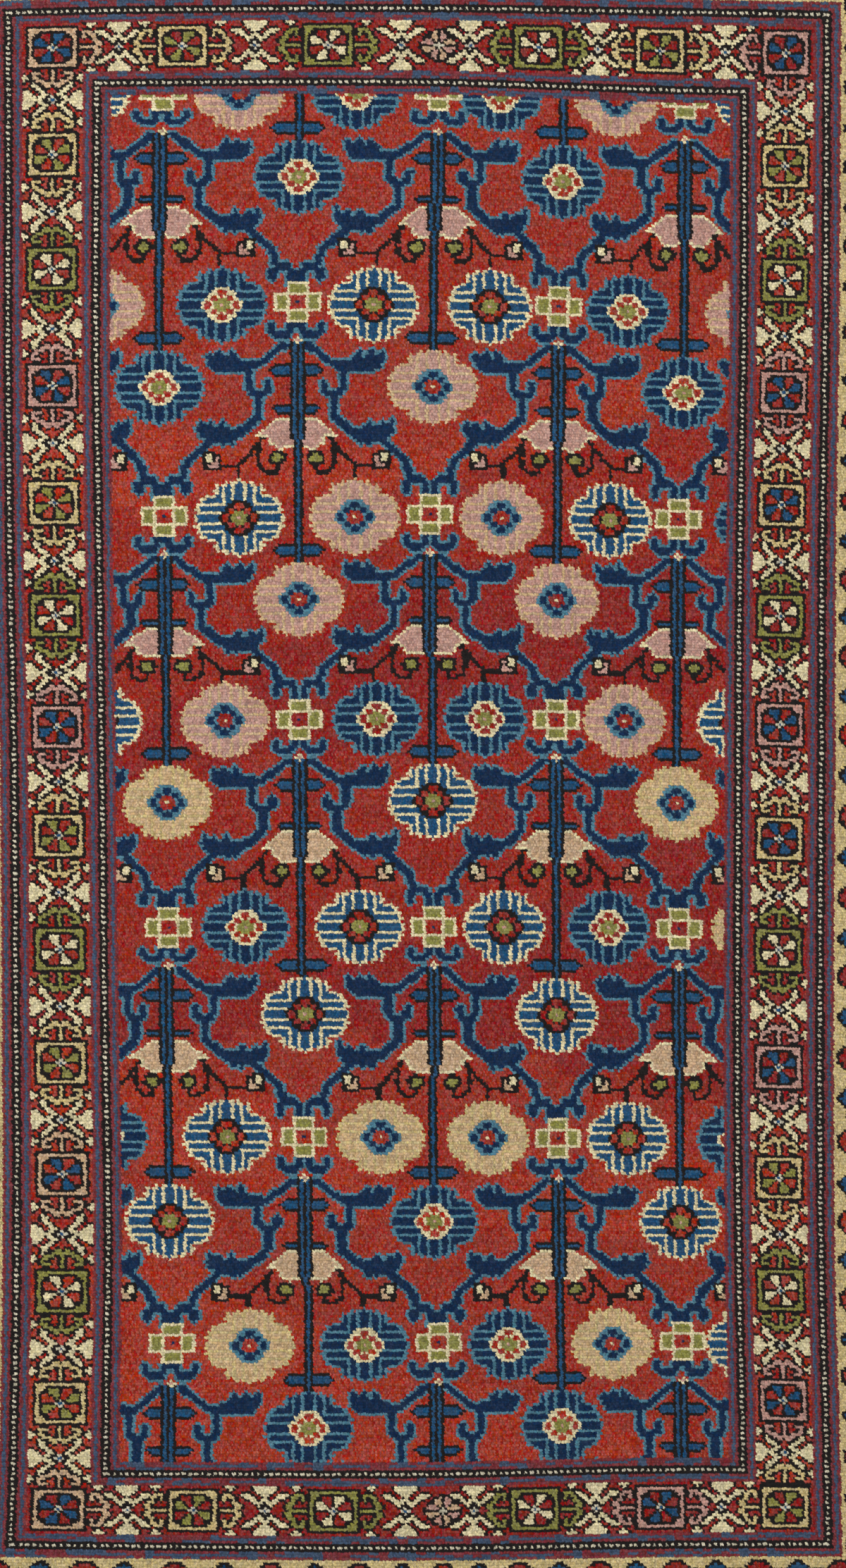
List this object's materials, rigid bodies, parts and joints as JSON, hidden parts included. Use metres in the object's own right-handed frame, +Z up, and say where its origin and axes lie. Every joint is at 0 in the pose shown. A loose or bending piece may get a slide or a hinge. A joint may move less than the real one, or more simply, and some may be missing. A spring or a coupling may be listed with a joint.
{
  "type": "oriental rug",
  "caption": "Hand-knotted wool pile rug, lying flat, with a flowering trellis field inside nested borders, overcast sides and flat-woven ends.",
  "frame": {"origin": "on the floor under the middle of the rug", "axes": "+Z up through the pile, +Y along the rug towards the end at the top of the picture, +X to the right in the picture"},
  "size_m": [1.3352, 2.1788, 0.0095],
  "materials": {
    "pile_wool": "cut wool pile, hand-knotted, madder red ground with indigo, cream, rose, green and dark brown",
    "edge_yarn": "indigo wool yarn, wrapped round the side warps",
    "foundation_yarn": "undyed cream warp and weft, plain woven"
  },
  "bodies": {
    "root": {"rug": "pile_wool"}
  },
  "joints": []
}
